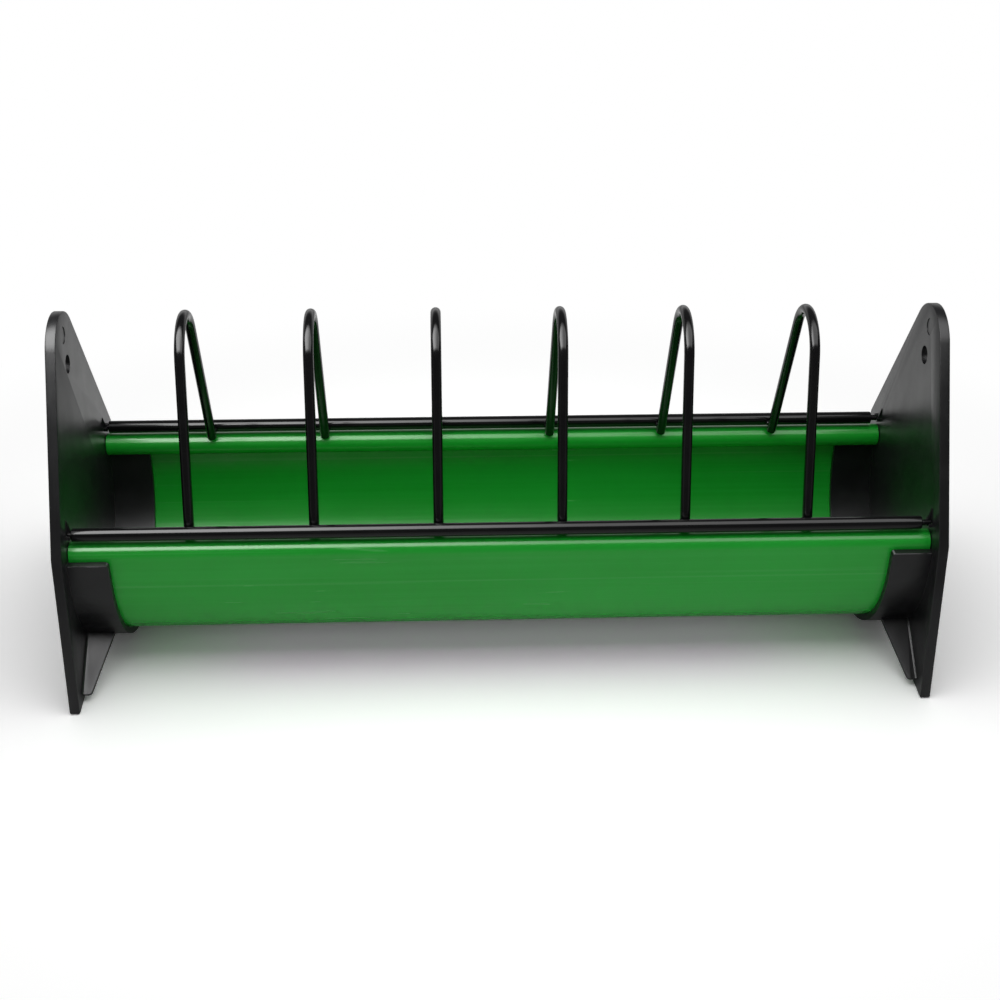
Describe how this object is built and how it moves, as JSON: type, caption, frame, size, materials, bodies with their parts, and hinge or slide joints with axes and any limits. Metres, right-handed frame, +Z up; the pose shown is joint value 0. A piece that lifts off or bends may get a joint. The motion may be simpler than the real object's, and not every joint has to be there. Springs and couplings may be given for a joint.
{
  "type": "chick feeder trough",
  "caption": "Round-bottomed feed trough with inward lips, held in socketed A-shaped end plates, under a hooped wire guard that swings up about its rear wire.",
  "frame": {"origin": "on the floor, under the middle of the trough", "axes": "+X along the trough, +Z up, the front faces -Y"},
  "size_m": [0.512, 0.1954, 0.215],
  "materials": {
    "trough_green": "smooth green extruded plastic, semi-gloss",
    "plate_black": "black injection-moulded plastic, satin",
    "wire_black": "black plastic-coated steel wire, glossy"
  },
  "bodies": {
    "base": {"trough": "trough_green", "left_end_plate": "plate_black", "right_end_plate": "plate_black"},
    "guard": {"front_wire": "wire_black", "rear_wire": "wire_black", "hoop_1": "wire_black", "hoop_2": "wire_black", "hoop_3": "wire_black", "hoop_4": "wire_black", "hoop_5": "wire_black", "hoop_6": "wire_black"}
  },
  "joints": [
    {"name": "guard_hinge", "type": "hinge", "parent": "base", "child": "guard", "pos_m": [0, 0.061, 0.103], "axis": [-1, 0, 0], "range_deg": [0, 165]}
  ]
}
